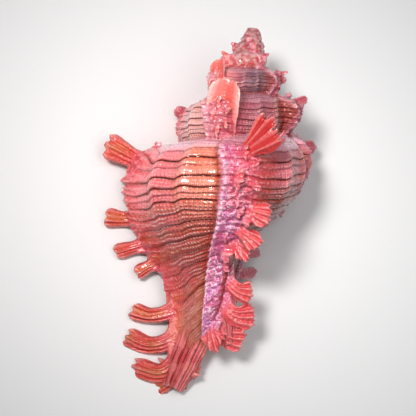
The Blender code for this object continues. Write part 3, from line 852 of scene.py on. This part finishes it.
def paintShell():
    f = shellFinish
    material, tree, surface = newMaterial("coral_shell")

    def uv(name):
        node = addNode(tree, "ShaderNodeUVMap", {"uv_map": name})
        parts = addNode(tree, "ShaderNodeSeparateXYZ", {}, {0: Wire(tree, node.outputs[0])})
        return Wire(tree, parts.outputs[0]), Wire(tree, parts.outputs[1])

    here = Wire(tree, addNode(tree, "ShaderNodeTexCoord").outputs["Object"])
    turns, counted = uv("growth")
    along, across = uv("frond")
    mouth, canal = uv("zone")
    stands, standsFar = uv("relief")
    # painted shade in recesses and deep hollows, painted highlight on crests
    paintedRecessShade = 1 - stands.ease(0.22, 0.5)
    paintedCrestHighlight = stands.ease(0.52, 0.8)
    deep = 1 - standsFar.ease(0.2, 0.5)
    angle = (turns - 8) * 360
    depth = counted * 100
    share = (angle / -shellGrowth["varixStep"]).fraction()
    near = share - share.math("GREATER_THAN", share, 0.5)
    edge = -0.145 - depth.band(37.0, 8.0) * 0.055 - depth.ease(58.0, 76.0) * 0.1
    rise = (near - edge).ease(-0.012, 0.012) * (1 - near.ease(0.05, 0.3))
    bodyAge = angle / -360  # 0 at the lip, 1 a turn before
    large = noise(tree, here, 55.0, 3.0)
    medium = noise(tree, here, 220.0, 4.0)
    fine = noise(tree, here, 900.0, 3.0)
    isCanal = canal.math("GREATER_THAN", canal, 0.5)
    isFrond = along.ease(0.08, 0.45) * (1 - isCanal)

    # ground colour between one varix and the next
    ground = share.ramp([(0.0, f["coral"]), (0.06, f["rose"]), (0.2, f["pink"]), (0.5, f["pink"]),
                         (0.62, f["peach"]), (0.84, f["peach"]), (0.97, f["rose"])])
    ground = blend((large + medium * 0.5 - 0.25).ease(0.42, 0.62) * 0.6, ground, f["rose"])
    ground = blend(share.ease(0.5, 0.6) * (1 - share.ease(0.9, 1.0)) * medium.ease(0.42, 0.66) * 0.5, ground, f["tan"])
    # strips take turns between pink and amber lower down
    ground = blend(depth.ease(49.0, 62.0) * 0.65, ground, f["coral"])
    # painted shade: broad deep coral patches between the lower fronds, placed by noise
    ground = blend(depth.band(66.0, 9.0) * large.ease(0.36, 0.52) * 0.6, ground, f["deepCoral"])
    strip = depth.band(60.8, 1.7).atLeast(depth.band(54.8, 1.2) * 0.8).atLeast(depth.band(65.2, 1.5))
    strip = strip.atLeast(depth.band(75.8, 2.0) * 0.9).atLeast(depth.band(82.5, 2.2) * 0.8)
    ground = blend(strip * medium.ease(0.25, 0.5) * (1 - share.ease(0.4, 0.75) * 0.5) * 0.9, ground, f["amber"])
    ochre = depth.band(86.0, 9.0).atLeast(depth.band(77.6, 1.8)) * share.band(0.62, 0.3) * medium.ease(0.36, 0.52)
    ground = blend(ochre * 0.95, ground, f["ochre"])
    ground = blend(depth.ease(70.0, 82.0) * medium.ease(0.3, 0.55) * 0.75, ground, f["peach"])
    # the third part round is greyed rose, partly its own colour and partly painted shade of the side turned from the
    # light, and dark brown underneath as painted shade
    third = bodyAge.ease(0.29, 0.36) * (1 - bodyAge.ease(0.6, 0.68))
    ground = blend(third * 0.8, ground, f["dustyRoseAndShade"])
    ground = blend(third * depth.ease(47.0, 54.0) * 0.9, ground, f["umberAndShade"])
    ground = blend(bodyAge.band(0.345, 0.06) * 0.85, ground, f["ember"])
    around = turns.fraction()
    spire = bodyAge.ease(0.9, 1.15)
    ground = blend(spire * 0.4, ground, f["plum"])
    # painted shade: brick on the spire's right side; painted light: pale on its left front side; the plum is its own
    # tone
    ground = blend(spire * around.band(0.5, 0.14) * 0.75, ground, f["brick"])
    ground = blend(spire * around.band(0.9, 0.2) * 0.85, ground, f["pale"])
    ground = blend(spire * around.band(0.43, 0.1) * 0.8, ground, f["plum"])
    slate = around.band(0.66, 0.15) * bodyAge.ease(1.1, 2.1, 0.35, 1.0) * (1 - bodyAge.ease(2.6, 2.9))
    ground = blend(spire * slate * medium.ease(0.25, 0.5, 0.6, 1.0), ground, f["slate"])
    ground = blend(bodyAge.ease(2.4, 3.1) * 0.95, ground, blend(fine.ease(0.42, 0.6), f["rose"], f["pale"]))
    # painted highlight: the sloping shoulder below the suture is painted pale pink-lilac
    ground = blend(depth.band(34.6, 5.0).ease(0.0, 0.7) * 0.85 * (1 - spire * 0.6), ground, f["ramp"])

    # varices are violet at the edge and coral behind it
    onVarix = rise * depth.ease(33.5, 38.0) * (1 - isCanal)
    varixColour = blend(near.ease(0.0, 0.13), f["violet"], f["coral"])
    varixColour = blend(medium.ease(0.45, 0.62) * (1 - near.ease(-0.1, 0.1)) * depth.ease(46.0, 56.0, 0.4, 0.75), varixColour, f["lilac"])
    varixColour = blend(near.ease(-0.13, -0.02) * (1 - depth.ease(50.0, 58.0)) * 0.6, varixColour, f["rose"])
    varixColour = blend(depth.ease(50.0, 60.0) * (1 - near.ease(0.06, 0.14)) * 0.25, varixColour, f["lilac"])
    squiggles = noise(tree, here, 640.0, 2.0).band(0.5, 0.05) * (1 - near.ease(-0.02, 0.12)) * large.ease(0.3, 0.5)
    varixColour = blend(squiggles * depth.ease(48.0, 58.0, 0.6, 1.0), varixColour, f["frost"])
    varixColour = blend((near - edge).band(0.03, 0.03) * fine.ease(0.4, 0.55) * 0.6, varixColour, f["frost"])
    early = bodyAge.ease(0.08, 0.2) * 0.75 + 0.2 - bodyAge.ease(0.4, 0.6) * 0.5
    varixColour = blend(spire * around.band(0.48, 0.14), varixColour, f["plum"])
    ground = blend(onVarix * early, ground, varixColour)
    canalColour = blend((across * math.pi * 26 + medium * 5).sine().ease(-0.9, 0.2), f["brick"], f["rose"])
    canalColour = blend(medium.ease(0.36, 0.56) * (0.8 - along.ease(0.4, 0.8) * 0.4), canalColour, f["pink"])
    canalColour = blend(medium.ease(0.5, 0.66) * (1 - along.ease(0.5, 0.8)) * 0.8, canalColour, f["ochre"])
    ground = blend(isCanal * along.ease(0.1, 0.5) * 0.85, ground, canalColour)

    # dark lines in the grooves, faint over the varices and near the apex
    lines = None
    for place, strength in whorlRelief["grooves"]:
        line = depth.band(place, f["lineWidth"] * (0.55 + 0.6 * strength)) * strength
        lines = line if lines is None else lines.atLeast(line)
    broken = medium.ease(0.2, 0.42) * (1 - onVarix * 0.8)
    broken = broken * (1 - bodyAge.ease(2.3, 2.9))
    halo = depth.band(41.0, 1.1).atLeast(depth.band(46.2, 1.1)).atLeast(depth.band(49.3, 1.1)).atLeast(depth.band(53.0, 1.1))
    ground = blend(halo * broken * (1 - isFrond) * (1 - mouth) * (1 - isCanal) * (1 - spire) * 0.35, ground, f["amber"])
    lineMask = lines * broken * (1 - isFrond) * (1 - mouth) * (1 - isCanal)
    glow = depth.band(41.8, 1.2).atLeast(depth.band(46.9, 1.3)).atLeast(depth.band(50.0, 1.2)).atLeast(depth.band(53.8, 1.2))
    glow = glow * share.ease(0.3, 0.6) * (1 - share.ease(0.93, 1.0)) * (1 - onVarix) * (1 - isFrond) * (1 - mouth)
    ground = blend(glow * 0.28, ground, f["amber"])
    colour = blend(lineMask, ground, f["lineColour"])

    # fronds: rose at the root, deep coral at the lobes, pale ridges
    ridges = (across * 46).sine().ease(-0.2, 0.9)
    frondColour = along.ramp([(0.0, f["rose"]), (0.35, f["rose"]), (0.6, f["coral"]), (0.9, f["coral"]), (1.0, f["deepCoral"])])
    frondColour = blend(medium.ease(0.5, 0.7) * (0.5 - bodyAge.ease(0.2, 0.25) * 0.35), frondColour, f["amber"])
    streak = across.ease(0.3, 0.42) * (1 - across.ease(0.5, 0.62)) * (1 - bodyAge.ease(0.1, 0.2))
    frondColour = blend(streak * medium.ease(0.4, 0.55) * 0.6, frondColour, f["ochre"])
    frondColour = blend(ridges * 0.2 * (1 - bodyAge.ease(0.2, 0.25)), frondColour, f["pink"])
    plume = bodyAge.band(0.308, 0.04) * (1 - depth.ease(43.0, 49.0))
    frondColour = blend(bodyAge.ease(0.2, 0.25) * 0.5, frondColour, f["petal"])
    frondColour = blend(plume * along.ease(0.1, 0.4), frondColour, f["ember"])
    hood = bodyAge.ease(1.0, 1.1)
    frondColour = blend(bodyAge.ease(0.45, 0.6) * 0.6, frondColour, f["plum"])
    hood = hood * around.band(0.8, 0.2).ease(0.0, 0.3)
    frondColour = blend(hood * 0.8, frondColour, f["hood"])
    frondColour = blend(hood * (1 - bodyAge.ease(1.4, 1.7)) * (across - 0.5).size().ease(0.1, 0.25) * 0.6, frondColour, f["pale"])
    colour = blend(isFrond, colour, frondColour)

    # threads with beads, with a painted highlight on their tops, painted glints, and a brick between them that is
    # partly own colour and partly painted shade
    thread = ((depth * (2 * math.pi / 1.05)).sine() * 0.5 + 0.5) * (1 - onVarix * 0.8)
    bead = (angle * 1.7 + (depth * 0.7).sine() * 2 + medium * 4).sine() * 0.5 + 0.5
    beads = thread * bead
    frondThread = (across * (isCanal * (math.pi * 52 - 60) + 60) + medium * 6).sine() * 0.5 + 0.5
    frondBead = (along * (isCanal * 200 + 90) + across * 9 + medium * 16).sine() * 0.2 + 0.8
    smooth = isFrond * bodyAge.ease(0.2, 0.25)  # fans have no threads
    onTop = blend(isFrond.atLeast(isCanal), beads, frondThread * frondBead * (1 - smooth) * 0.75)
    tops = Wire(tree, onTop.socket)
    # painted highlight on the tops of threads and beads
    colour = blend(tops.ease(0.45, 0.95) * medium.ease(0.4, 0.65) * (1 - mouth) * 0.35, colour, srgb(255, 214, 206))
    onBody = (1 - isFrond) * (1 - isCanal) * (1 - mouth)
    # brick between the threads: partly the shell's own colour, partly painted shade in the furrows
    between = (1 - thread).ease(0.3, 0.9) * depth.ease(50.0, 60.0) * onBody * (1 - onVarix)
    colour = blend(between * medium.ease(0.3, 0.55) * depth.ease(72.0, 80.0, 0.65, 0.3), colour, f["brick"])
    # painted glints: pale tick marks and pale beads
    paintedGlintTicks = ((angle * 4.4 + medium * 8).sine() * 0.5 + 0.5).ease(0.5, 0.9) * medium.ease(0.44, 0.56)
    glints = (beads.ease(0.5, 0.9) * depth.ease(50.0, 60.0) * medium.ease(0.38, 0.54)).atLeast(paintedGlintTicks * depth.ease(38.0, 42.0) * thread.ease(0.2, 0.7))
    colour = blend(glints * fine.ease(0.36, 0.56) * onBody * (1 - onVarix) * (1 - lineMask), colour, f["pale"])
    # painted shade: brick in recesses and deep coral in hollows; painted highlight: pale on crests
    shade = (1 - mouth) * depth.ease(72.0, 82.0, 1.0, 0.4) * (1 - onVarix * 0.6) * (1 - bodyAge.ease(2.2, 2.8) * 0.6)
    colour = blend(paintedRecessShade * 0.28 * shade * (1 - smooth * 0.5), colour, f["brick"])
    colour = blend(deep * 0.3 * shade, colour, f["deepCoral"])
    colour = blend(paintedCrestHighlight * 0.34, colour, f["pale"])

    # porcelain round the mouth and a warm throat
    porcelain = blend(mouth.ease(0.9, 1.0) * medium.ease(0.3, 0.7) * 0.4, f["porcelain"], f["throat"])
    colour = blend(mouth.ease(0.2, 0.85), colour, porcelain)

    growthLine = ((angle * 3.7 + medium * 9).sine() * 0.5 + 0.5) * (1 - onVarix * 0.7)
    relief = tops * (depth.ease(48.0, 58.0) * 0.9 + 0.55) + growthLine * 0.25 + fine * 0.35 - lineMask * 1.1
    relief = relief + onVarix * (1 - flecks(tree, here, 1100.0)) * 0.8
    relief = relief * (1 - mouth * 0.9)
    bumpNode = addNode(tree, "ShaderNodeBump", {}, {"Strength": f["bump"], "Distance": f["bumpDistance"], "Height": relief})
    addTo = tree.links.new
    addTo(bumpNode.outputs[0], surface.inputs["Normal"])
    addTo(colour.socket, surface.inputs["Base Color"])
    rough = (medium.ease(0.3, 0.7, f["roughness"] - 0.1, f["roughness"] + 0.14) + lineMask * 0.25) * (1 - mouth * 0.45)
    addTo(rough.socket, surface.inputs["Roughness"])
    surface.inputs["Coat Weight"].default_value = f["coat"]
    surface.inputs["Coat Roughness"].default_value = f["coatRoughness"]
    surface.inputs["Subsurface Weight"].default_value = 0.08
    surface.inputs["Subsurface Radius"].default_value = (1.0, 0.4, 0.3)
    surface.inputs["Subsurface Scale"].default_value = 0.0015
    return material


shellMesh.materials.clear()
shellMesh.materials.append(paintShell())
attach(shell, "root")
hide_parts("shell")
print("shell finished")

# Table, camera and light
studio = {
    "table": srgb(228, 228, 228),
    "viewTurn": (0.988, 0.153),  # the shell's axis leans a little to the right
    "viewCentre": (-4.708, -49.17),  # mm from the apex
    "viewWidth": 0.110032,
    "distance": 0.6,
    "worldStrength": 0.27,
    "keyWatts": 16.0,
    "keyCone": 20.0,
    "fillWatts": 1.7,
}
floorMesh = bpy.data.meshes.new("table_top")
plain = bmesh.new()
bmesh.ops.create_grid(plain, x_segments=1, y_segments=1, size=2.0)
plain.to_mesh(floorMesh)
plain.free()
floor = bpy.data.objects.new("table_top", floorMesh)
bpy.context.scene.collection.objects.link(floor)
tableMaterial, tableTree, tableSurface = newMaterial("pale_table")
tableSurface.inputs["Base Color"].default_value = studio["table"]
tableSurface.inputs["Roughness"].default_value = 0.8
floorMesh.materials.append(tableMaterial)

viewRight = lie.to_3x3() @ Vector((studio["viewTurn"][0], studio["viewTurn"][1], 0))
viewUp = lie.to_3x3() @ Vector((-studio["viewTurn"][1], studio["viewTurn"][0], 0))
viewBack = viewRight.cross(viewUp)
viewCentre = shellPlace @ Vector((studio["viewCentre"][0] * mm, studio["viewCentre"][1] * mm, 0))


def seenFrom(right, up, back, distance):
    place = Matrix((viewRight, viewUp, viewBack)).transposed().to_4x4()
    place.translation = viewCentre + viewRight * right + viewUp * up + viewBack * back
    return place


camera = bpy.data.objects.new("camera", bpy.data.cameras.new("camera"))
camera.data.sensor_width = 36
camera.data.lens = 36 * studio["distance"] / studio["viewWidth"]
camera.matrix_world = seenFrom(0, 0, studio["distance"], 0)
bpy.context.scene.collection.objects.link(camera)
bpy.context.scene.camera = camera


def addLight(name, kind, right, up, back, watts, size, colour):
    lamp = bpy.data.lights.new(name, kind)
    lamp.energy, lamp.color = watts, colour
    if kind == "SPOT":  # its soft edge leaves the corners of the table darker
        lamp.shadow_soft_size, lamp.spot_size, lamp.spot_blend = size, math.radians(studio["keyCone"]), 1.0
    else:
        lamp.size = size
    lampObject = bpy.data.objects.new(name, lamp)
    aim = viewCentre + viewUp * 0.012
    spot = aim + viewRight * right + viewUp * up + viewBack * back
    lampObject.matrix_world = Matrix.Translation(spot) @ (spot - aim).to_track_quat("Z", "Y").to_matrix().to_4x4()
    bpy.context.scene.collection.objects.link(lampObject)


addLight("key", "SPOT", -0.13, 0.15, 0.5, studio["keyWatts"], 0.08, (1, 0.985, 0.97))
addLight("fill", "AREA", 0.3, 0.1, 0.6, studio["fillWatts"], 0.6, (0.96, 0.98, 1))
world = bpy.data.worlds.new("studio")
bpy.context.scene.world = world
world.use_nodes = True
world.node_tree.nodes["Background"].inputs[0].default_value = (1, 1, 1, 1)
world.node_tree.nodes["Background"].inputs[1].default_value = studio["worldStrength"]
bpy.context.scene.view_settings.view_transform = "Standard"
bpy.context.scene.view_settings.exposure = 0.08
bpy.context.scene.view_settings.gamma = 0.82
